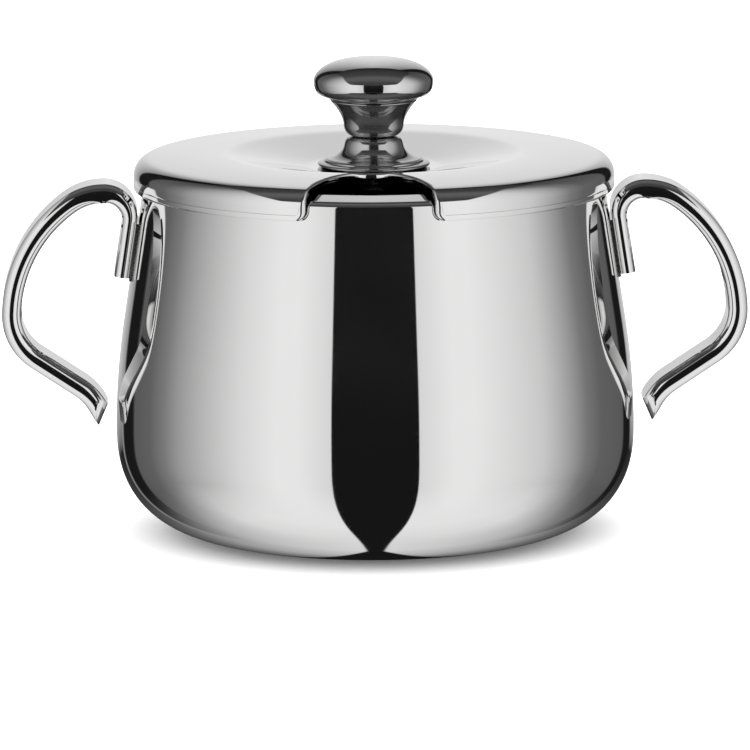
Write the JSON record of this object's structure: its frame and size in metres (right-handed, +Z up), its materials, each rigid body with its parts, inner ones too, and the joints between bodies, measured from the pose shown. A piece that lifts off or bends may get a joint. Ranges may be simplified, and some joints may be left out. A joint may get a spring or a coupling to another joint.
{
  "type": "sugar bowl",
  "caption": "Polished silver sugar bowl with two hooked bar handles and a lift-off flat lid with a spoon notch and a turned knob.",
  "frame": {"origin": "middle of the flat base, on the table", "axes": "+X through the right handle, -Y towards the spoon notch, +Z up along the bowl's axis"},
  "size_m": [0.1378, 0.096, 0.0882],
  "materials": {
    "polished_silver": "mirror polished",
    "knob_silver": "mirror polished",
    "braze": "satin",
    "fastener_steel": "satin"
  },
  "bodies": {
    "bowl": {"bowl_shell": "polished_silver", "left_handle": "polished_silver", "right_handle": "polished_silver", "left_handle_braze": "braze", "right_handle_braze": "braze"},
    "lid": {"lid_shell": "polished_silver", "knob_foot": "knob_silver", "knob_stem": "knob_silver", "knob_cap": "knob_silver", "knob_screw": "fastener_steel", "knob_washer": "fastener_steel"}
  },
  "joints": [
    {"name": "lid_lift", "type": "slide", "parent": "bowl", "child": "lid", "axis": [0, 0, 1], "range_m": [0, 0.045]}
  ]
}
